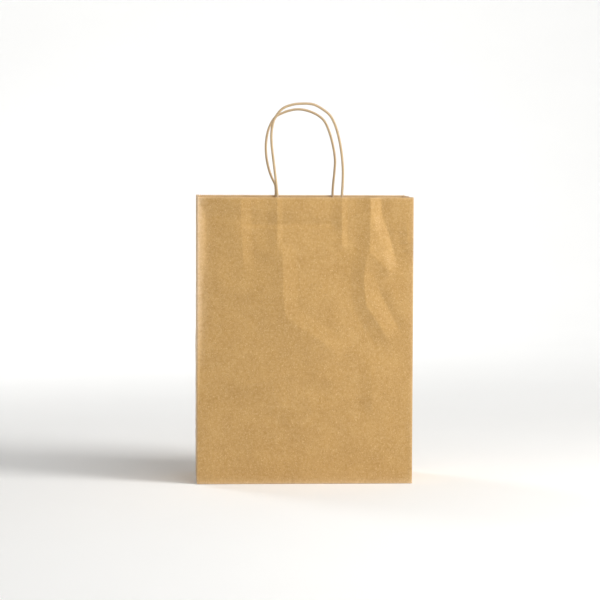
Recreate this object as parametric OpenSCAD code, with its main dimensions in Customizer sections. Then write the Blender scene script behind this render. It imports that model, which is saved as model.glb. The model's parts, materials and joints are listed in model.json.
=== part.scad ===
// Kraft paper gift bag with a block bottom, folding side gussets and two twisted paper cord handles.
// Frame: origin at the middle of the base, +X to the right, +Y to the back, +Z up. Millimetres.

/* [Bag] */
// Width of the front and back panels
bag_w = 260; // [220:1:320]
// Depth of the sides
bag_d = 120; // [100:1:140]
// Height from the base to the tips of the cut teeth
bag_h = 346; // [240:1:420]

/* [Paper] */
// Thickness of the kraft paper
paper = 0.16; // [0.12:0.01:0.2]
// Width of the lengthwise glue lap behind the back panel
seam_w = 20; // [12:1:30]

/* [Cut top edge] */
// Number of teeth along the front and back panels
panel_teeth = 108; // [60:1:130]
// Number of teeth along each half of a side gusset
gusset_teeth = 25; // [14:1:30]
// Height of a tooth
tooth = 1.2; // [0.6:0.1:2]

/* [Base] */
// How far each base flap passes the middle of the base
flap_lap = 12; // [6:1:18]
// How far each side tuck reaches in over the base
tuck = 72; // [40:1:90]

/* [Handle patches] */
// Width of a handle patch
patch_w = 152.4; // [110:0.1:180]
// Height of a handle patch
patch_h = 48; // [36:1:60]
// From the tips of the teeth down to a patch
patch_drop = 12; // [6:1:30]
// Thickness of a patch strip
strip = 0.25; // [0.15:0.05:0.3]

/* [Handle cords] */
// Diameter of the twisted cord
cord_d = 3; // [2.4:0.1:3.1]
// Thickness of a cord end, pressed between the strips of its patch
pressed = 2.6; // [2:0.1:2.6]

/* [Hidden] */

kraft = [0.78, 0.63, 0.40];
kraft_inside = [0.72, 0.57, 0.36];
cord_paper = [0.82, 0.68, 0.46];

// The panels turn on lines where their inner faces meet, and the gussets on their outer middle line.
crease_gap = 0.2;
half_w = bag_w / 2;
half_d = bag_d / 2;
base_t = 3 * paper;
// The walls that fold pass just over the base.
wall_z = base_t + 0.32;
// A lap this far from its crease leaves room for the gusset that folds against it.
seam_inset = 3.2;
step = 0.3;

patch_z = bag_h - patch_drop - patch_h;
cord_r = cord_d / 2;
// Depth of the cord's middle, measured in from the outer face of its panel
cord_in = paper + 0.1 + cord_r;
pressed_wide = cord_d + 0.6;
// A handle bends over the teeth with room for half its thickness.
bend_z = bag_h + cord_r + 0.5;
end_top = bend_z - cord_r - 0.15;
cord_sides = 8;

// Routes of the two loops, as [x, height over the bend]. Near the bend the loops stand 3.4 apart,
// so that they can pass each other when the bag is flat.
front_route = [[-34, 0], [-34.8, 9], [-36.4, 23], [-39, 44], [-41, 62], [-41, 76], [-38, 90],
    [-29, 102.5], [-16.5, 108], [-3, 109.4], [9, 108.4], [20, 102.8], [30, 94], [37, 78.5],
    [41.8, 58], [44.4, 36], [44.6, 18], [43.6, 0]];
rear_route = [[-30.6, 0], [-31.4, 10], [-36, 20], [-40, 32], [-42.8, 48], [-42.8, 64],
    [-39.5, 80], [-32, 93.5], [-21, 99.8], [-10.5, 103], [-1, 103.8], [9, 102], [20, 97.4],
    [29, 90], [35, 78], [40, 61], [43, 42], [42.2, 25], [40.8, 11], [40.2, 0]];

// ---- Sheets

// A row of cut teeth along a length, from its far end back to 0
function teeth(long, count) =
    [for (i = [2 * count : -1 : 0]) [i * long / (2 * count), bag_h - (i % 2 == 0 ? tooth : 0)]];

module toothed_sheet(long, low, count) {
    linear_extrude(paper)
        polygon(concat([[0, low], [long, low]], teeth(long, count)));
}

// One half of a side gusset, standing in the YZ plane from y = 0
module gusset_half() {
    rotate([90, 0, 90])
        toothed_sheet(half_d - paper - 2 * crease_gap, wall_z, gusset_teeth);
}

module front_panel() {
    color(kraft)
        translate([-half_w, -half_d + paper, 0])
            rotate([90, 0, 0])
                toothed_sheet(bag_w, 0, panel_teeth);
}

module back_panel() {
    color(kraft)
        translate([-half_w, half_d, 0])
            rotate([90, 0, 0])
                toothed_sheet(bag_w, wall_z, panel_teeth);
}

module left_gusset_front() {
    color(kraft)
        translate([-half_w, -half_d + paper + crease_gap, 0])
            gusset_half();
}

module left_gusset_rear() {
    color(kraft)
        translate([-half_w, crease_gap, 0])
            gusset_half();
}

module right_gusset_front() {
    color(kraft)
        translate([half_w - paper, -half_d + paper + crease_gap, 0])
            gusset_half();
}

module right_gusset_rear() {
    color(kraft)
        translate([half_w - paper, crease_gap, 0])
            gusset_half();
}

module seam_tab() {
    color(kraft_inside)
        translate([-half_w + seam_inset, half_d - 2 * paper, wall_z])
            cube([seam_w - seam_inset, paper, bag_h - tooth - 2 - wall_z]);
}

// ---- Base, from the floor up: front flap, rear flap, side tucks

// A base flap that narrows at 45 degrees from its crease, standing on y = 0
module flap_outline(deep) {
    polygon([[-half_w, 0], [half_w, 0], [half_w - deep, deep], [deep - half_w, deep]]);
}

module base_flap_front() {
    color(kraft)
        translate([0, -half_d + paper, 0])
            linear_extrude(paper)
                flap_outline(half_d - paper + flap_lap);
}

module base_flap_rear() {
    deep = half_d + flap_lap;
    outside = half_d - flap_lap - step;
    color(kraft)
        translate([0, half_d, 0])
            mirror([0, 1, 0])
                union() {
                    linear_extrude(paper)
                        flap_outline(outside);
                    // The lap steps up over the edge of the front flap.
                    translate([0, 0, paper])
                        linear_extrude(paper)
                            intersection() {
                                flap_outline(deep);
                                translate([-half_w, outside - step])
                                    square([bag_w, deep]);
                            }
                }
}

module base_tuck() {
    color(kraft_inside)
        translate([-half_w, -half_d + paper, 2 * paper])
            cube([tuck, bag_d - paper, paper]);
}

module base_tuck_left() {
    base_tuck();
}

module base_tuck_right() {
    mirror([1, 0, 0])
        base_tuck();
}

// ---- Handle patches and the cord ends in them, drawn on the front panel with depth along +Y

function leg_x(route, side) = route[side < 0 ? 0 : len(route) - 1].x;
function patch_x(route) = (leg_x(route, -1) + leg_x(route, 1)) / 2;

module on_front() {
    translate([0, -half_d, 0])
        children();
}

module on_back() {
    translate([0, half_d, 0])
        mirror([0, 1, 0])
            children();
}

// A flattened round outline, wide along X
module pressed_outline(wide, thick) {
    flat = wide - thick;
    square([flat, thick], center = true);
    for (side = [-1, 1])
        translate([side * flat / 2, 0])
            circle(d = thick, $fn = 32);
}

module patch_backing(route) {
    color(kraft_inside)
        translate([patch_x(route) - patch_w / 2, paper, patch_z])
            cube([patch_w, strip, patch_h]);
}

module patch_cover(route) {
    color(kraft_inside)
        translate([0, 0, patch_z])
            linear_extrude(patch_h)
                difference() {
                    union() {
                        translate([patch_x(route) - patch_w / 2, paper + strip])
                            square([patch_w, strip]);
                        for (side = [-1, 1])
                            translate([leg_x(route, side), cord_in])
                                pressed_outline(pressed_wide + 2 * strip, pressed + 2 * strip);
                    }
                    for (side = [-1, 1])
                        translate([leg_x(route, side), cord_in])
                            pressed_outline(pressed_wide, pressed);
                    translate([-half_w, -bag_d + paper + strip])
                        square([bag_w, bag_d]);
                }
}

module cord_end(route, side) {
    color(cord_paper)
        translate([leg_x(route, side), cord_in, 0]) {
            translate([0, 0, patch_z])
                linear_extrude(patch_h)
                    pressed_outline(pressed_wide, pressed);
            translate([0, 0, patch_z + patch_h])
                cylinder(d = cord_d, h = end_top - patch_z - patch_h, $fn = 32);
        }
}

// ---- Handle loops

// A point halfway between two points of a route, on a smooth curve through them
function between(p, i) =
    (9 * (p[i] + p[i + 1]) - p[max(i - 1, 0)] - p[min(i + 2, len(p) - 1)]) / 16;
function smooth(p) =
    [for (i = [0 : 2 * len(p) - 2]) i % 2 == 0 ? p[i / 2] : between(p, (i - 1) / 2)];
function unit(v) = v / norm(v);
function way(p, i) = unit(p[min(i + 1, len(p) - 1)] - p[max(i - 1, 0)]);

// One ring round the route: a place, the way along it and a radius
function ring(at, along, r) =
    [for (k = [0 : cord_sides - 1]) let (a = 360 * k / cord_sides)
        [at.x + r * cos(a) * along.y, r * sin(a), at.y - r * cos(a) * along.x]];

// The two ends are rounded, so that they turn in place over the cord ends.
module loop(route) {
    p = [for (q = smooth(route)) [q.x, bend_z + q.y]];
    n = len(p);
    tip = 0.7 * cord_r;
    first = way(p, 0);
    last = way(p, n - 1);
    rings = concat([ring(p[0] - tip * first, first, tip)],
        [for (i = [0 : n - 1]) ring(p[i], way(p, i), cord_r)],
        [ring(p[n - 1] + tip * last, last, tip)]);
    count = len(rings);
    sides = cord_sides;
    walls = [for (i = [0 : count - 2]) for (k = [0 : sides - 1]) let (m = (k + 1) % sides)
        each [[i * sides + k, i * sides + m, (i + 1) * sides + k],
            [i * sides + m, (i + 1) * sides + m, (i + 1) * sides + k]]];
    start_cap = [for (k = [sides - 1 : -1 : 0]) k];
    end_cap = [for (k = [0 : sides - 1]) (count - 1) * sides + k];
    color(cord_paper)
        translate([0, cord_in, 0])
            polyhedron([for (r = rings) each r], concat(walls, [start_cap, end_cap]));
}

module front_patch_backing() { on_front() patch_backing(front_route); }
module front_patch_cover() { on_front() patch_cover(front_route); }
module front_cord_end_left() { on_front() cord_end(front_route, -1); }
module front_cord_end_right() { on_front() cord_end(front_route, 1); }
module front_handle() { on_front() loop(front_route); }
module rear_patch_backing() { on_back() patch_backing(rear_route); }
module rear_patch_cover() { on_back() patch_cover(rear_route); }
module rear_cord_end_left() { on_back() cord_end(rear_route, -1); }
module rear_cord_end_right() { on_back() cord_end(rear_route, 1); }
module rear_handle() { on_back() loop(rear_route); }

front_panel();
back_panel();
left_gusset_front();
left_gusset_rear();
right_gusset_front();
right_gusset_rear();
seam_tab();
base_tuck_left();
base_tuck_right();
base_flap_rear();
base_flap_front();
front_patch_backing();
front_patch_cover();
front_cord_end_left();
front_cord_end_right();
front_handle();
rear_patch_backing();
rear_patch_cover();
rear_cord_end_left();
rear_cord_end_right();
rear_handle();
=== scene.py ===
"""Looks of the kraft paper gift bag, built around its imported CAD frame.

+Z is up and the front panel is at -Y. Paper and cords are shaped in millimetres and stored in metres.
A wall's shape is its depth, which is how far the paper is pressed in from the wall's flat outer face.
"""

import json
import math

import bpy
import numpy as np
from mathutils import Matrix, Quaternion, Vector, noise


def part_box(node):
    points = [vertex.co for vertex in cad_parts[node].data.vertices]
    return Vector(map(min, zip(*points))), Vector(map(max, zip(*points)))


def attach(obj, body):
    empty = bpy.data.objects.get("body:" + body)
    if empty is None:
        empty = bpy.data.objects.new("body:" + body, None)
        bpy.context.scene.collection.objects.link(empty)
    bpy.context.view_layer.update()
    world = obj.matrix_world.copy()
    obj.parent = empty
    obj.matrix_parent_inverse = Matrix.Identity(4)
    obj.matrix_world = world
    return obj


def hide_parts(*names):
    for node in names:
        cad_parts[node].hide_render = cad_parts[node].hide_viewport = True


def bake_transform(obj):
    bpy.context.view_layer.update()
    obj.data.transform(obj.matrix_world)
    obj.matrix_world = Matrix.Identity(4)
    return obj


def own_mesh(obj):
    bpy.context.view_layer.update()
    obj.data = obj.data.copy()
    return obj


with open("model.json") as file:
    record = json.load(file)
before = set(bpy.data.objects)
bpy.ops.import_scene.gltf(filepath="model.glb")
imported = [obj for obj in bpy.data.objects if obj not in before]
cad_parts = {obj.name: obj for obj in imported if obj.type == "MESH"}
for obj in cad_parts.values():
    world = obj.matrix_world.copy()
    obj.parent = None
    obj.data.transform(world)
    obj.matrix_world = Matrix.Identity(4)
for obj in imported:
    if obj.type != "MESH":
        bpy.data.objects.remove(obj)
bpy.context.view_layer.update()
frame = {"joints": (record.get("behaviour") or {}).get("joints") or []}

MM = 0.001
UP = Vector((0, 0, 1))


def box_mm(node):
    """A CAD node's lowest and highest corners."""
    return tuple(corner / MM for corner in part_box(node))


def hinge_mm(name):
    """A point on a joint's axis."""
    joint = next(j for j in frame["joints"] if j["name"] == name)
    return tuple(value / MM for value in joint["pos_m"])


# ---- Sizes read from the frame, in millimetres

FRONT_LOW, FRONT_HIGH = box_mm("front_panel")
BACK_LOW, BACK_HIGH = box_mm("back_panel")
PATCH_LOW, PATCH_HIGH = box_mm("front_patch_backing")
REAR_PATCH_LOW, REAR_PATCH_HIGH = box_mm("rear_patch_backing")
SEAM_LOW, SEAM_HIGH = box_mm("seam_tab")
TUCK_LOW, TUCK_HIGH = box_mm("base_tuck_left")
FLAP_END = box_mm("base_flap_front")[1].y
HALF_W = FRONT_HIGH.x
HALF_D = BACK_HIGH.y
RIM = FRONT_HIGH.z
# Thickness of the sheet, and of a patch's strips
PAPER = FRONT_HIGH.y - FRONT_LOW.y
STRIP = PATCH_HIGH.y - PATCH_LOW.y
# Width of one half of a side gusset
GUSSET_W = HALF_D - PAPER
# The back and the sides stand on the folded base
WALL_FOOT = BACK_LOW.z
# The height at which the cords bend, and how far inside the bag's outer face their middles are
BEND = hinge_mm("front_handle_bend")[2]
CORD_IN = HALF_D + hinge_mm("front_handle_bend")[1]

# ---- Sizes of the looks, in millimetres

# The saw-cut rim: how deep a tooth is, and how many a panel and half a gusset have
TOOTH = 1.2
PANEL_TEETH = 108
GUSSET_TEETH = 25
# The cords: their thickness, and what is left of it where a patch presses them
CORD_D = 3.0
PRESSED_D = 2.6
# Their twist: the length of one turn, and the number of strands
TWIST_PITCH = 9.0
LOBES = 3
# The film of glue between two layers of paper
GLUE = 0.01

# The two loops' routes, as (x, height over the bend), the same points as in the CAD source
FRONT_ROUTE = [
    (-34, 0), (-34.8, 9), (-36.4, 23), (-39, 44), (-41, 62), (-41, 76), (-38, 90), (-29, 102.5),
    (-16.5, 108), (-3, 109.4), (9, 108.4), (20, 102.8), (30, 94), (37, 78.5), (41.8, 58),
    (44.4, 36), (44.6, 18), (43.6, 0),
]
REAR_ROUTE = [
    (-30.6, 0), (-31.4, 10), (-36, 20), (-40, 32), (-42.8, 48), (-42.8, 64), (-39.5, 80),
    (-32, 93.5), (-21, 99.8), (-10.5, 103), (-1, 103.8), (9, 102), (20, 97.4), (29, 90),
    (35, 78), (40, 61), (43, 42), (42.2, 25), (40.8, 11), (40.2, 0),
]

# ---- Camera: a long lens, a little above the rim and a little to the bag's left

CAMERA_AIM = Vector((-6.4, -HALF_D, 222.2)) * MM
CAMERA_DISTANCE = 3.0
CAMERA_AZIMUTH = math.radians(-3.1)
CAMERA_RISE = math.radians(3.74)
CAMERA_ROLL = math.radians(0.2)
CAMERA_LENS = 150.2
SENSOR_WIDTH = 36


def make_camera():
    """The camera, CAMERA_DISTANCE away on the level and raised by CAMERA_RISE."""
    data = bpy.data.cameras.new("camera")
    data.lens = CAMERA_LENS
    data.sensor_width = SENSOR_WIDTH
    camera = bpy.data.objects.new("camera", data)
    back = Vector((
        math.sin(CAMERA_AZIMUTH) * CAMERA_DISTANCE,
        -math.cos(CAMERA_AZIMUTH) * CAMERA_DISTANCE,
        math.tan(CAMERA_RISE) * CAMERA_DISTANCE,
    ))
    camera.location = CAMERA_AIM + back
    camera.rotation_mode = "QUATERNION"
    roll = Quaternion((0, 0, 1), CAMERA_ROLL)
    camera.rotation_quaternion = (-back).to_track_quat("-Z", "Y") @ roll
    bpy.context.collection.objects.link(camera)
    bpy.context.scene.camera = camera


# ---- Materials


class Nodes:
    """Short calls for adding the nodes of one material."""

    def __init__(self, name):
        self.material = bpy.data.materials.new(name)
        self.material.use_nodes = True
        self.tree = self.material.node_tree
        self.shader = self.tree.nodes["Principled BSDF"]
        self.place = self.tree.nodes.new("ShaderNodeTexCoord").outputs["Object"]

    def link(self, value, socket):
        """Feed a socket from another node's output, or set it to a plain value."""
        if isinstance(value, bpy.types.NodeSocket):
            self.tree.links.new(value, socket)
        else:
            socket.default_value = value

    def stretched(self, scale, turn=(0, 0, 0)):
        """The place on the object, scaled and turned."""
        mapping = self.tree.nodes.new("ShaderNodeMapping")
        self.link(self.place, mapping.inputs["Vector"])
        mapping.inputs["Scale"].default_value = scale
        mapping.inputs["Rotation"].default_value = turn
        return mapping.outputs["Vector"]

    def noise(self, size_mm, detail=3, rough=0.55, at=None):
        """Noise whose features are about size_mm across, from 0 to 1."""
        made = self.tree.nodes.new("ShaderNodeTexNoise")
        made.inputs["Scale"].default_value = 1 / (size_mm * MM)
        made.inputs["Detail"].default_value = detail
        made.inputs["Roughness"].default_value = rough
        self.link(self.place if at is None else at, made.inputs["Vector"])
        return made.outputs["Fac"]

    def maths(self, kind, a, b):
        """A Math node of two values."""
        made = self.tree.nodes.new("ShaderNodeMath")
        made.operation = kind
        self.link(a, made.inputs[0])
        self.link(b, made.inputs[1])
        return made.outputs[0]

    def times(self, a, b):
        """Two values multiplied."""
        return self.maths("MULTIPLY", a, b)

    def spread(self, value, low, high, to_low=0.0, to_high=1.0):
        """value from low..high to to_low..to_high, clamped."""
        made = self.tree.nodes.new("ShaderNodeMapRange")
        for v, socket in zip((value, low, high, to_low, to_high), made.inputs):
            self.link(v, socket)
        return made.outputs[0]

    def attribute(self, name):
        """A value stored on the mesh's points, 0 where the mesh has none of that name."""
        made = self.tree.nodes.new("ShaderNodeAttribute")
        made.attribute_name = name
        return made.outputs["Fac"]

    def mix(self, share, a, b):
        """Colour a where share is 0, b where it is 1."""
        made = self.tree.nodes.new("ShaderNodeMix")
        made.data_type = "RGBA"
        self.link(share, made.inputs[0])
        self.link(a, made.inputs[6])
        self.link(b, made.inputs[7])
        return made.outputs[2]

    def bump(self, height, distance_mm, strength, under=None):
        """A relief distance_mm high, on top of the one under it."""
        made = self.tree.nodes.new("ShaderNodeBump")
        made.inputs["Strength"].default_value = strength
        made.inputs["Distance"].default_value = distance_mm * MM
        self.link(height, made.inputs["Height"])
        if under is not None:
            self.link(under, made.inputs["Normal"])
        return made.outputs["Normal"]


def tone(red, green, blue):
    """A colour given as 8-bit screen values, as the linear values that a shader takes."""
    linear = [((v / 255 + 0.055) / 1.055) ** 2.4 for v in (red, green, blue)]
    return (*linear, 1)


DARK_FLECK = tone(140, 100, 52)
PALE_FLECK = tone(238, 208, 158)
# Pale tone of paper scuffed at its creases and edges, also laid on them as a painted sheen and highlight
RUBBED_AND_SHEEN = tone(240, 212, 178)
# How the paper's fibres lie: each set is tilted twice by the first angle, then spun by the second
FIBRE_TURNS = (0.0, 3), (0.9, 7), (1.9, 11), (2.6, 17)


def lying_fibres(n):
    """1 on the paper's short fibres, 0 between them."""
    found = 0.0
    for tilt, spin in FIBRE_TURNS:
        along = n.stretched((1, 1, 0.11), (tilt, tilt, spin))
        streaks = n.spread(n.noise(0.42, detail=1, at=along), 0.62, 0.72)
        found = n.maths("MAXIMUM", found, streaks)
    return found


def kraft_paper(name, body, pale, dark, roughness):
    """Unbleached kraft: cloudy formation, short fibres lying every way, pale and dark flecks."""
    n = Nodes(name)
    clouds = n.noise(26, detail=2)
    flocs = n.noise(3.2, detail=4, rough=0.62)
    grain = n.noise(0.55, detail=2, rough=0.6)
    fibres = lying_fibres(n)
    dark_flecks = n.spread(n.noise(1.1, detail=2, rough=0.6), 0.61, 0.7)
    elsewhere = n.stretched((1, 1, 0.7), (1, 2, 3))
    pale_flecks = n.spread(n.noise(1.2, detail=2, rough=0.6, at=elsewhere), 0.6, 0.7)

    colour = n.mix(n.spread(clouds, 0.25, 0.75, to_low=0.25, to_high=0.8), dark, body)
    colour = n.mix(n.spread(flocs, 0.35, 0.7, to_high=0.42), colour, pale)
    colour = n.mix(n.spread(grain, 0.3, 0.7, to_low=0.16, to_high=0.0), colour, dark)
    colour = n.mix(n.times(fibres, 0.3), colour, pale)
    colour = n.mix(n.times(dark_flecks, 0.5), colour, DARK_FLECK)
    colour = n.mix(n.times(pale_flecks, 0.5), colour, PALE_FLECK)
    # Pale paper where the mesh's stored values say so: partly scuffing on creases and edges, partly a
    # painted sheen and highlight there
    worn_and_sheen = n.times(n.attribute("wear_and_sheen"), n.spread(flocs, 0.3, 0.6, to_low=0.45, to_high=0.75))
    n.link(n.mix(worn_and_sheen, colour, RUBBED_AND_SHEEN), n.shader.inputs["Base Color"])

    gloss = n.spread(flocs, 0.3, 0.7, to_low=roughness + 0.06, to_high=roughness - 0.08)
    n.link(gloss, n.shader.inputs["Roughness"])
    n.shader.inputs["Specular IOR Level"].default_value = 0.5

    waves = n.bump(n.noise(7, detail=3), 0.12, 0.5)
    relief = n.maths("ADD", flocs, n.times(fibres, 0.35))
    relief = n.maths("ADD", relief, n.times(pale_flecks, 0.4))
    skin = n.bump(relief, 0.035, 0.7, under=waves)
    n.link(n.bump(grain, 0.012, 0.8, under=skin), n.shader.inputs["Normal"])
    return n.material


def twisted_paper(name, body, pale, dark):
    """The cord's paper: fibres drawn along it, and painted shade in the twist's grooves."""
    n = Nodes(name)
    along = n.stretched((1, 1, 0.25), (0.3, 0.5, 0))
    streaks = n.noise(0.5, detail=3, at=along)
    colour = n.mix(n.spread(streaks, 0.3, 0.7), body, pale)
    # Painted shade: the twist's grooves are drawn darker, towards the third tone
    colour = n.mix(n.times(n.attribute("groove_shade"), 0.75), colour, dark)
    n.link(colour, n.shader.inputs["Base Color"])
    n.shader.inputs["Roughness"].default_value = 0.62
    n.shader.inputs["Specular IOR Level"].default_value = 0.35
    n.link(n.bump(streaks, 0.06, 0.6), n.shader.inputs["Normal"])
    return n.material


def plain_floor():
    """Matt, almost white, and very faintly clouded."""
    n = Nodes("studio_floor")
    cloud = n.noise(400, detail=2)
    n.link(n.mix(cloud, tone(246, 246, 245), tone(250, 250, 249)), n.shader.inputs["Base Color"])
    n.shader.inputs["Roughness"].default_value = 0.9
    n.shader.inputs["Specular IOR Level"].default_value = 0.1
    return n.material


OUTSIDE = kraft_paper(
    "kraft_outside", tone(199, 157, 91), tone(219, 182, 127), tone(174, 132, 65), roughness=0.47)
INSIDE = kraft_paper(
    "kraft_inside", tone(222, 188, 139), tone(234, 204, 158), tone(206, 170, 118), roughness=0.74)
STRIPS = kraft_paper(
    "kraft_strip", tone(206, 167, 113), tone(221, 184, 132), tone(186, 147, 95), roughness=0.7)
# The cord's third tone is the painted shade in the twist's grooves
CORD = twisted_paper(
    "twisted_cord", tone(196, 167, 128), tone(215, 189, 152), tone(112, 90, 64))

# ---- Meshes


def new_piece(name, points, faces, materials, flat_faces=(), inside_faces=()):
    """A smooth mesh piece. flat_faces are shaded flat, and inside_faces take the second material."""
    mesh = bpy.data.meshes.new(name)
    mesh.from_pydata(np.asarray(points) * MM, [], faces)
    for material in materials:
        mesh.materials.append(material)
    smooth = np.ones(len(faces), bool)
    smooth[list(flat_faces)] = False
    mesh.polygons.foreach_set("use_smooth", smooth)
    if len(materials) > 1:
        second = np.zeros(len(faces), np.int32)
        second[list(inside_faces)] = 1
        mesh.polygons.foreach_set("material_index", second)
    mesh.validate()
    mesh.update()
    piece = bpy.data.objects.new(name, mesh)
    bpy.context.collection.objects.link(piece)
    return piece


def store(piece, name, values):
    """Keep one value for each point of a piece, for its material to read."""
    data = piece.data.attributes.new(name, "FLOAT", "POINT").data
    data.foreach_set("value", values.ravel().astype(np.float32))


def shell(name, outer, inner, materials):
    """A closed thin sheet from two grids of points, each an array of rows by columns by 3."""
    rows, columns = outer.shape[:2]
    count = rows * columns
    at = np.arange(count).reshape(rows, columns)
    quads = np.stack([at[:-1, :-1], at[:-1, 1:], at[1:, 1:], at[1:, :-1]], axis=-1).reshape(-1, 4)
    rim = np.concatenate([at[0, :], at[1:, -1], at[-1, -2::-1], at[-2:0:-1, 0]])
    next_rim = np.roll(rim, -1)
    edge = np.stack([rim, rim + count, next_rim + count, next_rim], axis=-1)
    faces = np.concatenate([quads, quads[:, ::-1] + count, edge])
    points = np.concatenate([outer.reshape(-1, 3), inner.reshape(-1, 3)])
    middle = len(quads)
    return new_piece(
        name, points, faces.tolist(), materials,
        flat_faces=range(2 * middle, len(faces)), inside_faces=range(middle, 2 * middle),
    )


# ---- Shapes in the paper. a is the place across a wall, z the height and down the drop below the rim,
# all in millimetres, and so are the depths.


def ease(t):
    """A smooth step from 0 to 1."""
    t = np.clip(t, 0, 1)
    return t * t * (3 - 2 * t)


def rough(a, b, size, seed):
    """Smooth noise over a grid, from about -1 to 1, with features about size across."""
    flat = [noise.noise(Vector((x / size, y / size, seed))) for x, y in zip(a.ravel(), b.ravel())]
    return np.array(flat).reshape(a.shape) * 1.6


def ridge(a, b, line, left, right, height, fade=12):
    """How far a ridge stands up along a line of (a, b) points. left and right are its flanks' widths,
    on either side of the way from the first point to the last; it fades out over its two ends."""
    best = np.full(a.shape, np.inf)
    side = np.zeros(a.shape)
    along = np.zeros(a.shape)
    total = 0.0
    for (a0, b0), (a1, b1) in zip(line, line[1:]):
        length = math.hypot(a1 - a0, b1 - b0)
        ua, ub = (a1 - a0) / length, (b1 - b0) / length
        inside = np.clip((a - a0) * ua + (b - b0) * ub, 0, length)
        away = np.hypot(a - a0 - ua * inside, b - b0 - ub * inside)
        cross = (a - a0) * ub - (b - b0) * ua
        nearer = away < best
        best = np.where(nearer, away, best)
        side = np.where(nearer, np.sign(cross), side)
        along = np.where(nearer, total + inside, along)
        total += length
    width = np.where(side < 0, left, right)
    crest = np.clip(1 - best / width, 0, 1)
    ends = ease(along / fade + 0.15) * ease((total - along) / fade)
    return height * crest**1.25 * ends


def hollow(a, b, middle, size, depth):
    """A soft round hollow."""
    return depth * np.exp(-(((a - middle[0]) / size[0]) ** 2) - ((b - middle[1]) / size[1]) ** 2)


def edge_hold(a, low, high, reach):
    """0 on the two sides of a sheet and 1 from reach inside them."""
    return ease((a - low) / reach) * ease((high - a) / reach)


def leg_ridges(a, down, route):
    """The cord ends press through the panel as two straight ribs, about as far down as the patch goes."""
    legs = route[0][0], route[-1][0]
    return sum(ridge(a, down, [(leg, -12), (leg, 66)], left=14, right=7, height=1.15) for leg in legs)


def bow(a, z, most):
    """A wall bows out in its middle and stays straight along its four edges."""
    return -most * (1 - (a / HALF_W) ** 2) * np.sin(np.pi * np.clip(z / RIM, 0, 1)) ** 0.8


FACET_W = 11
FACET_SLOPE = 0.26
FACET_RUN_OUT = 110


def left_facet(a, down):
    """A narrow facet turned over along the left crease, widest near the top and gone lower down."""
    width = FACET_W * ease((down + 2) / 28)
    width = width * (1 - 0.45 * ease((down - 60) / 60)) * (1 - ease((down - 150) / 150))
    width = np.maximum(width, 0.4)
    left = a + HALF_W
    return FACET_SLOPE * np.minimum(left, width) * (1 - ease((left - width) / FACET_RUN_OUT))


# Short nicks in the front panel's two side creases, each from one (a, down) point to another
FRONT_NICKS = [
    [(108, 44), (129, 49)],
    [(111, 57), (129, 59)],
    [(115, 66), (129, 71)],
    [(-129, 25), (-117, 27)],
    [(-129, 88), (-120, 87)],
]


def front_depth(a, z):
    """The front panel: bowed out, with its handle patch pressed through and the creases that its
    right-hand end throws down towards the side."""
    down = RIM - z
    depth = bow(a, z, 3.6) + left_facet(a, down) - leg_ridges(a, down, FRONT_ROUTE)
    # The patch sags between the cords: a level valley, sharp below
    depth += ridge(a, down, [(-84, 33), (46, 32)], left=20, right=16, height=1.1)
    depth += ridge(a, down, [(-74, 35), (40, 34)], left=2.5, right=26, height=0.8)
    # The patch's left end
    depth -= ridge(a, down, [(-78, -24), (-77, 40), (-73, 96)], left=44, right=13, height=1.9, fade=34)
    # The patch's right end: a sharp crest, then a valley that turns off to the side
    crest = [(78, -20), (77.5, 50), (77, 66), (92, 80), (107, 96)]
    depth -= ridge(a, down, crest, left=19, right=14, height=2.2, fade=14)
    valley = [(90, -4), (92, 22), (99, 41), (105, 60), (113, 90)]
    depth += ridge(a, down, valley, left=13, right=30, height=2.8, fade=26)
    depth -= ridge(a, down, [(121, 26), (124, 70)], left=9, right=5, height=0.5, fade=14)
    # A second crease under the first
    crest = [(74, 64), (70, 100), (73, 130), (86, 149), (106, 182)]
    depth -= ridge(a, down, crest, left=17, right=18, height=2.5, fade=28)
    valley = [(86, 106), (102, 138), (118, 168)]
    depth += ridge(a, down, valley, left=14, right=14, height=1.4, fade=20)
    # A long soft fold from the left cord down towards the middle, with three hollows round it
    fold = [(-28, 54), (-27, 112), (-24, 144), (-3, 159), (20, 173), (46, 196)]
    depth -= ridge(a, down, fold, left=42, right=18, height=2.2, fade=20)
    depth += hollow(a, down, middle=(-50, 84), size=(17, 26), depth=0.7)
    depth += hollow(a, down, middle=(6, 100), size=(15, 17), depth=0.8)
    depth += hollow(a, down, middle=(-66, 160), size=(34, 24), depth=0.9)
    for nick in FRONT_NICKS:
        depth += ridge(a, down, nick, left=3, right=4, height=0.55, fade=4)
    # Below, only faint creases
    depth -= ridge(a, down, [(79, 194), (80, 270)], left=15, right=12, height=0.6, fade=24)
    crease = [(-96, 236), (-30, 214), (60, 224)]
    depth -= ridge(a, down, crease, left=16, right=16, height=0.7, fade=30)
    depth -= ridge(a, down, [(0, 226), (14, 280)], left=24, right=26, height=0.8, fade=26)
    uneven = 0.55 * rough(a, z, 46, 1.5) + 0.24 * rough(a, z, 17, 4.5)
    return depth + uneven * edge_hold(a, -HALF_W, HALF_W, 26) * ease(z / 30)


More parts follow.
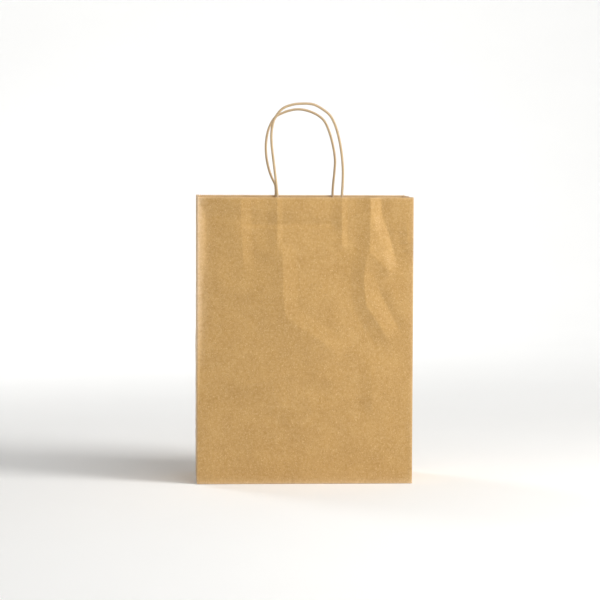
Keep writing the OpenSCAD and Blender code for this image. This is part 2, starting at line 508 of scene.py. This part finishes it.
def back_depth(a, z):
    """The back panel: the same patch, and the level crease that the folded base leaves."""
    down = RIM - z
    depth = bow(a, z, 3.0) - leg_ridges(a, down, REAR_ROUTE)
    # The patch's sag, then its two ends
    depth += ridge(a, down, [(-62, 32), (62, 34)], left=17, right=26, height=0.8)
    crest = [(-72, -20), (-74, 44), (-96, 100)]
    depth -= ridge(a, down, crest, left=12, right=24, height=1.9, fade=20)
    crest = [(82, -20), (80, 60), (86, 120)]
    depth -= ridge(a, down, crest, left=22, right=14, height=1.5, fade=24)
    # The base's crease
    depth += ridge(a, z, [(-140, HALF_D), (140, HALF_D)], left=7, right=7, height=0.7, fade=10)
    # Two soft folds
    fold = [(-70, 70), (-20, 120), (30, 150)]
    depth -= ridge(a, z, fold, left=24, right=30, height=1.2, fade=30)
    fold = [(52, 240), (34, 190), (60, 130)]
    depth -= ridge(a, z, fold, left=20, right=20, height=1.0, fade=30)
    uneven = 0.6 * rough(a, z, 50, 8.5) + 0.2 * rough(a, z, 18, 2.5)
    return depth * edge_hold(a, -HALF_W, HALF_W, 6) + uneven * edge_hold(a, -HALF_W, HALF_W, 26)


def gusset_depth(seed):
    """One half of a side gusset, where a runs from the panel's crease to the middle crease. The base
    leaves a slanting crease from its corner and a level one where they meet the middle crease."""
    fold = [(10, 190 + 20 * seed), (54, 150 + 14 * seed)]

    def depth(a, z):
        arch = np.clip(np.sin(np.pi * a / GUSSET_W), 0, 1)
        belly = -0.5 * arch**0.6 * ease(z / 50) * ease((250 - z) / 120)
        belly += 3.6 * arch * ease((z - 190) / 160)
        slant = ridge(a, z, [(-4, -4), (GUSSET_W, GUSSET_W)], left=6, right=6, height=0.6, fade=6)
        line = [(-10, GUSSET_W), (GUSSET_W + 10, GUSSET_W)]
        level = ridge(a, z, line, left=5, right=5, height=0.4, fade=6)
        crossing = ridge(a, z, fold, left=16, right=20, height=0.5, fade=14)
        uneven = 0.4 * rough(a, z, 34, seed) + 0.14 * rough(a, z, 13, seed + 0.5)
        bent = slant + level - crossing + uneven
        return belly + bent * edge_hold(a, 0, GUSSET_W, 14)

    return depth


# ---- Pale paper, from scuffing and from a painted highlight and sheen: 1 where it is drawn pale, 0 where it is new


def near(distance, reach):
    """1 on an edge, falling off over reach on both sides of it."""
    return np.exp(-np.abs(distance) / reach)


def edge_wear_and_sheen(z):
    """Pale lines along the fold over the base and the cut edge at the rim: partly scuffing, partly a
    painted highlight.
    """
    return 0.75 * near(z, 2.6) + 0.6 * near(RIM - z, 1)


def front_wear_and_sheen(a, z):
    """The two side creases, of which the left one is pale over a wider band towards the top: partly
    scuffing, partly a painted sheen.
    """
    left, right = a + HALF_W, HALF_W - a
    rubbed_and_sheen = near(left, 5) * ease((z - 110) / 120)
    return edge_wear_and_sheen(z) + rubbed_and_sheen + 0.4 * near(left, 1) + 0.5 * near(right, 1.6)


def back_wear_and_sheen(a, z):
    """The two side creases and the base's crease."""
    return edge_wear_and_sheen(z) + 0.5 * near(HALF_W - np.abs(a), 1.4) + 0.35 * near(z - HALF_D, 0.9)


def gusset_wear_and_sheen(a, z):
    """The outer and middle creases, and the two that the base leaves."""
    slant = 0.4 * near(a - z, 1.2) * (z < GUSSET_W)
    level = 0.35 * near(z - GUSSET_W, 0.9)
    return edge_wear_and_sheen(z) + slant + level + 0.5 * near(a, 1.4) + 0.45 * near(GUSSET_W - a, 1)


# ---- Walls

ROW_SPACING = 2.4
# Rows of points over a wall's foot, close together where the paper turns under
FOOT_ROWS = (0, 0.7, 1.6, 2.8, 4.4)
FOOT_TOP = 6.5


def levels(foot):
    """The heights of a wall's rows of points."""
    count = int((RIM - foot) / ROW_SPACING)
    even = np.linspace(foot + FOOT_TOP, RIM - TOOTH - 0.5, count)
    return np.concatenate([foot + np.array(FOOT_ROWS), even, [RIM]])


def wall(name, node, start, across, inward, width, teeth, depth, wear_and_sheen, foot=0.0):
    """A wall of the bag: a thin sheet with a saw-cut top edge. start is its first bottom corner. depth
    and the function for its paler paper, scuffed and painted with sheen, take the place across, from the
    middle of a panel or the outer edge of a gusset half."""
    run, z = np.meshgrid(np.linspace(0, width, 2 * teeth + 1), levels(foot))
    z[-1, ::2] -= TOOTH
    a = run + start.x if across.x else run
    flat = np.array(start) + run[..., None] * np.array(across) + z[..., None] * np.array(UP)
    outer = flat + depth(a, z)[..., None] * np.array(inward)
    inner = outer + PAPER * np.array(inward)
    # Paler paper: scuffing, and a painted highlight and sheen on the edges and creases
    rubbed_and_sheen = np.clip(wear_and_sheen(a, z), 0, 1)
    # The columns are turned round where the faces would look into the paper
    if across.cross(UP).dot(inward) > 0:
        outer, inner, rubbed_and_sheen = outer[:, ::-1], inner[:, ::-1], rubbed_and_sheen[:, ::-1]
    piece = shell(name, outer, inner, [OUTSIDE, INSIDE])
    store(piece, "wear_and_sheen", np.tile(rubbed_and_sheen.ravel(), 2))
    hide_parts(node)
    return piece


def press_flat(piece):
    """Give a piece its own copy of its mesh."""
    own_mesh(piece)


def make_walls():
    """The six walls. Each rides on its own body."""
    x, y = Vector((1, 0, 0)), Vector((0, 1, 0))
    front = wall("front_wall", "front_panel", Vector((-HALF_W, -HALF_D, 0)), x, y, 2 * HALF_W,
                 PANEL_TEETH, front_depth, front_wear_and_sheen)
    back = wall("back_wall_sheet", "back_panel", Vector((-HALF_W, HALF_D, 0)), x, -y, 2 * HALF_W,
                PANEL_TEETH, back_depth, back_wear_and_sheen, WALL_FOOT)
    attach(front, "root")
    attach(back, "back_wall")
    press_flat(front)
    press_flat(back)
    for side, turn in (("left", -1), ("right", 1)):
        for part, way in (("front", 1), ("rear", -1)):
            start = Vector((turn * HALF_W, -way * GUSSET_W, 0))
            depth = gusset_depth(seed=1.3 + turn + 0.4 * way)
            piece = wall(f"{side}_side_{part}", f"{side}_gusset_{part}", start, y * way, x * -turn,
                         GUSSET_W, GUSSET_TEETH, depth, gusset_wear_and_sheen, WALL_FOOT)
            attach(piece, f"{side}_{part}_wall")
            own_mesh(piece)


# ---- Inside the walls: the handle patches and the seam

LINING_COLUMNS = 220
LINING_ROWS = 40
# The cover strip's clearance over a cord, and how far it takes to come down beside one
OVER_CORD = 0.15
BESIDE_CORD = 3.2


def lining(name, node, low, high, glued_face, thick, toward, body, material):
    """A thin strip glued on the inside of a wall. glued_face gives how far its outer side is from the
    flat outer face of the wall, and toward is 1 at the front and -1 at the back."""
    a, z = np.meshgrid(np.linspace(low.x, high.x, LINING_COLUMNS), np.linspace(low.z, high.z, LINING_ROWS))
    glued = glued_face(a, z)
    outer = np.stack([a, toward * (glued - HALF_D), z], axis=-1)
    inner = np.stack([a, toward * (glued + thick - HALF_D), z], axis=-1)
    if toward < 0:
        outer, inner = outer[:, ::-1], inner[:, ::-1]
    piece = shell(name, outer, inner, [material])
    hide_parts(node)
    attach(piece, body)
    press_flat(piece)


def make_patch(end, route, depth, toward, body, low, high):
    """The two strips of a handle patch, which hold the cord's ends between them."""
    legs = route[0][0], route[-1][0]

    def on_panel(a, z):
        return depth(a, z) + PAPER + GLUE

    def over_cords(a, z):
        crest = CORD_IN + PRESSED_D / 2 + OVER_CORD
        tents = [crest * (1 - ease((np.abs(a - leg) - PRESSED_D / 2) / BESIDE_CORD)) for leg in legs]
        return np.maximum(on_panel(a, z) + STRIP + GLUE, np.maximum(*tents))

    lining(f"{end}_backing_strip", f"{end}_patch_backing", low, high, on_panel, STRIP,
           toward, body, STRIPS)
    lining(f"{end}_cover_strip", f"{end}_patch_cover", low, high, over_cords, STRIP,
           toward, body, STRIPS)


def make_seam():
    """The lap that closes the sheet into a tube, glued behind the back panel's left edge."""

    def on_back(a, z):
        return back_depth(a, z) + PAPER + GLUE

    lining("glue_lap", "seam_tab", SEAM_LOW, SEAM_HIGH, on_back, PAPER,
           -1, "back_wall", INSIDE)


# ---- Base

BASE_COLUMNS = 60
BASE_ROWS = 24
# Height and width of the waves in the flaps
BASE_WAVE = 0.05
BASE_WAVE_SIZE = 30
# Where across a flap its free edge steps up over the other one, from 0 at the fold to 1
STEP_FROM = 0.6
STEP_RUN = 0.1


def base_sheet(name, node, outline, z, step, material):
    """A flap of the base from its four corners, (x, y) each: two on its fold, then two on its free
    edge, which is raised by step."""
    u, v = np.meshgrid(np.linspace(0, 1, BASE_COLUMNS), np.linspace(0, 1, BASE_ROWS))
    fold, free = np.array(outline[:2], float), np.array(outline[2:], float)
    at = ((1 - v) * (1 - u))[..., None] * fold[0] + ((1 - v) * u)[..., None] * fold[1]
    at = at + (v * (1 - u))[..., None] * free[0] + (v * u)[..., None] * free[1]
    lifted = np.clip(1 + rough(at[..., 0], at[..., 1], BASE_WAVE_SIZE, z + 2.5), 0, 2)
    wave = BASE_WAVE * lifted * edge_hold(v, 0, 1, 0.2)
    height = z + wave + step * ease((v - STEP_FROM) / STEP_RUN)
    low = np.concatenate([at, height[..., None]], axis=-1)
    high = low + np.array([0, 0, PAPER])
    if np.cross(fold[1] - fold[0], free[0] - fold[0]) > 0:
        low, high = low[:, ::-1], high[:, ::-1]
    piece = shell(name, low, high, material)
    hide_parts(node)
    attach(piece, "root")
    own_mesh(piece)


def make_base():
    """The block bottom: the front flap is outermost, then the rear flap, then the two side tucks."""
    back, front, lap = HALF_D, PAPER - HALF_D, FLAP_END
    outside, inside = [OUTSIDE, INSIDE], [INSIDE, INSIDE]
    reach = lap - front
    base_sheet("base_front_flap", "base_flap_front",
               [(-HALF_W, front), (HALF_W, front), (reach - HALF_W, lap), (HALF_W - reach, lap)],
               0.0, 0.0, outside)
    reach = back + lap
    base_sheet("base_rear_flap", "base_flap_rear",
               [(HALF_W, back), (-HALF_W, back), (HALF_W - reach, -lap), (reach - HALF_W, -lap)],
               0.0, 1.2 * PAPER, outside)
    for side, turn in (("left", -1), ("right", 1)):
        x0, x1 = turn * HALF_W, turn * (HALF_W - (TUCK_HIGH.x - TUCK_LOW.x))
        base_sheet(f"base_{side}_tuck", f"base_tuck_{side}",
                   [(x0, front * -turn), (x0, front * turn), (x1, front * -turn), (x1, front * turn)],
                   TUCK_LOW.z + 0.1, 0.0, inside)


# ---- Handles

# Points round a cord, and the distance between its rings of points
CORD_SIDES = 24
CORD_SPACING = 0.75
# A cord's radius in its grooves, and how much its strands add on top, as shares of the nominal one
GROOVE_RADIUS = 0.84
STRAND_RISE = 0.2
# The pressing ends this far under a patch's upper edge, and eases off over this length
PRESS_END = 4
PRESS_EASE = 5
# How much wider a pressed cord is
PRESS_SPREAD = 0.12
# Straight stretch of a cord in its patch, as heights over the patch's lower edge
BURIED = (0, 12, 30, 46, 56)
# Points taken on the smooth curve between two points of a route
FINE_STEPS = 40


def smooth_route(points, spacing):
    """Points every spacing along a smooth curve through the route, and how far along each one is."""
    p = [np.array(q, float) for q in points]
    p = [2 * p[0] - p[1]] + p + [2 * p[-1] - p[-2]]
    fine = []
    for q0, q1, q2, q3 in zip(p, p[1:], p[2:], p[3:]):
        for t in np.linspace(0, 1, FINE_STEPS, endpoint=False):
            fine.append(0.5 * (2 * q1 + (q2 - q0) * t + (2 * q0 - 5 * q1 + 4 * q2 - q3) * t * t
                               + (3 * q1 - q0 - 3 * q2 + q3) * t**3))
    fine.append(p[-2])
    fine = np.array(fine)
    run = np.concatenate([[0], np.cumsum(np.linalg.norm(np.diff(fine, axis=0), axis=1))])
    at = np.linspace(0, run[-1], int(run[-1] / spacing) + 1)
    return np.stack([np.interp(at, run, fine[:, k]) for k in range(2)], axis=1), at


def cord_mesh(name, route, y):
    """A twisted cord along a whole route, its two buried ends included, with its middle line and its
    length in metres."""
    left, right = route[0][0], route[-1][0]
    line = [(left, PATCH_LOW.z + up) for up in BURIED]
    line += [(x, BEND + up) for x, up in route]
    line += [(right, PATCH_LOW.z + up) for up in reversed(BURIED)]
    middle, run = smooth_route(line, CORD_SPACING)
    way = np.gradient(middle, axis=0)
    way /= np.linalg.norm(way, axis=1)[:, None]
    turn = np.arange(CORD_SIDES) * 2 * np.pi / CORD_SIDES
    phase = turn[None, :] - (2 * np.pi * run / TWIST_PITCH)[:, None]
    lobe = np.abs(np.cos(phase * LOBES / 2)) ** 0.75
    radius = CORD_D / 2 * (GROOVE_RADIUS + STRAND_RISE * lobe)
    # Pressed a little flatter where the patch holds it
    pressed = (1 - ease((middle[:, 1] - PATCH_HIGH.z + PRESS_END) / PRESS_EASE))[:, None]
    wide = radius * np.cos(turn) * (1 + PRESS_SPREAD * pressed)
    deep = radius * np.sin(turn) * (1 - (1 - PRESSED_D / CORD_D) * pressed)
    x = middle[:, :1] + wide * way[:, 1:]
    z = middle[:, 1:] - wide * way[:, :1]
    rings = np.stack([x, y + deep, z], axis=-1)
    count = len(rings)
    at = np.arange(count * CORD_SIDES).reshape(count, CORD_SIDES)
    after = np.roll(at, -1, axis=1)
    quads = np.stack([at[:-1], after[:-1], after[1:], at[1:]], axis=-1).reshape(-1, 4).tolist()
    caps = [at[0, ::-1].tolist(), at[-1].tolist()]
    piece = new_piece(name, rings.reshape(-1, 3), quads + caps, [CORD],
                      flat_faces=(len(quads), len(quads) + 1))
    # Painted shade for the twist's grooves: 1 deep between the strands, 0 on their crests
    store(piece, "groove_shade", (1 - lobe) ** 2)
    path = np.stack([middle[:, 0], np.full(count, y), middle[:, 1]], axis=-1) * MM
    return piece, path, run[-1] * MM


def make_handles():
    """The two cords, built in place of the CAD handles and cord ends."""
    for end, route, wall_body, grip, y in (
        ("front", FRONT_ROUTE, "root", "front_grip", CORD_IN - HALF_D),
        ("rear", REAR_ROUTE, "back_wall", "rear_grip", HALF_D - CORD_IN),
    ):
        piece, path, length = cord_mesh(f"{end}_cord", route, y)
        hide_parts(f"{end}_handle", f"{end}_cord_end_left", f"{end}_cord_end_right")
        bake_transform(piece)


# ---- Studio, in metres

# The floor lies this far below the bag, so that the two don't share a plane
FLOOR_DROP = 0.0003
# It is flat up to FLOOR_FLAT from the middle, then curves up with a radius of FLOOR_BEND
FLOOR_FLAT = 2.2
FLOOR_BEND = 2.4
WALL_TOP = 2.6
FLOOR_SIDES = 96
FLOOR_CURVE_STEPS = 15


def make_floor():
    """A pale floor that curves up into a round wall, with no corner between them."""
    profile = [(r, 0.0) for r in (0.4, 1.0, 2.0, FLOOR_FLAT)]
    for t in np.linspace(0, math.pi / 2, FLOOR_CURVE_STEPS + 1)[1:]:
        profile.append((FLOOR_FLAT + FLOOR_BEND * math.sin(t), FLOOR_BEND - FLOOR_BEND * math.cos(t)))
    profile.append((FLOOR_FLAT + FLOOR_BEND, WALL_TOP))
    points = [(0.0, 0.0, -FLOOR_DROP)]
    faces = []
    for ring, (radius, height) in enumerate(profile):
        first = 1 + ring * FLOOR_SIDES
        for k in range(FLOOR_SIDES):
            turn = 2 * math.pi * k / FLOOR_SIDES
            points.append((radius * math.cos(turn), radius * math.sin(turn), height - FLOOR_DROP))
            here, after = first + k, first + (k + 1) % FLOOR_SIDES
            if ring == 0:
                faces.append((0, here, after))
            else:
                faces.append((here - FLOOR_SIDES, here, after, after - FLOOR_SIDES))
    mesh = bpy.data.meshes.new("studio_floor")
    mesh.from_pydata(points, [], faces)
    mesh.materials.append(plain_floor())
    mesh.polygons.foreach_set("use_smooth", [True] * len(faces))
    floor = bpy.data.objects.new("studio_floor", mesh)
    bpy.context.collection.objects.link(floor)


def area_light(name, place, aim, size, watts, warmth=(1, 1, 1)):
    """A square soft light at a place, facing another."""
    data = bpy.data.lights.new(name, "AREA")
    data.shape = "SQUARE"
    data.size = size
    data.energy = watts
    data.color = warmth
    light = bpy.data.objects.new(name, data)
    light.location = place
    light.rotation_mode = "QUATERNION"
    light.rotation_quaternion = (Vector(aim) - Vector(place)).to_track_quat("-Z", "Y")
    light.visible_camera = False
    bpy.context.collection.objects.link(light)


def make_lights():
    """An even sky, a key light from the right, a faint one over the bag, a fill from behind on the left,
    and two that face away from the bag, onto the wall behind it and the wall behind the camera."""
    world = bpy.data.worlds.new("studio")
    world.use_nodes = True
    sky = world.node_tree.nodes["Background"]
    sky.inputs["Color"].default_value = (1, 1, 1, 1)
    sky.inputs["Strength"].default_value = 0.19
    bpy.context.scene.world = world
    area_light("key", (1.6, -0.85, 1.35), (0, 0, 0.3), size=0.85, watts=37, warmth=(1.0, 0.985, 0.96))
    area_light("top", (0.3, -0.6, 1.5), (0, 0, 0.3), size=0.7, watts=6)
    area_light("back_fill", (-1.9, 2.1, 1.4), (0, 0, 0.2), size=1.0, watts=26)
    area_light("wall_light", (0, 1.9, 2.3), (0, 4.4, 0.5), size=1.6, watts=44)
    area_light("front_wall_light", (0, -1.9, 2.3), (0, -4.4, 0.5), size=1.6, watts=24)
    bpy.context.scene.view_settings.view_transform = "Standard"


make_camera()
make_handles()
make_walls()
make_patch("front", FRONT_ROUTE, front_depth, 1, "root", PATCH_LOW, PATCH_HIGH)
make_patch("rear", REAR_ROUTE, back_depth, -1, "back_wall", REAR_PATCH_LOW, REAR_PATCH_HIGH)
make_seam()
make_base()
make_floor()
make_lights()
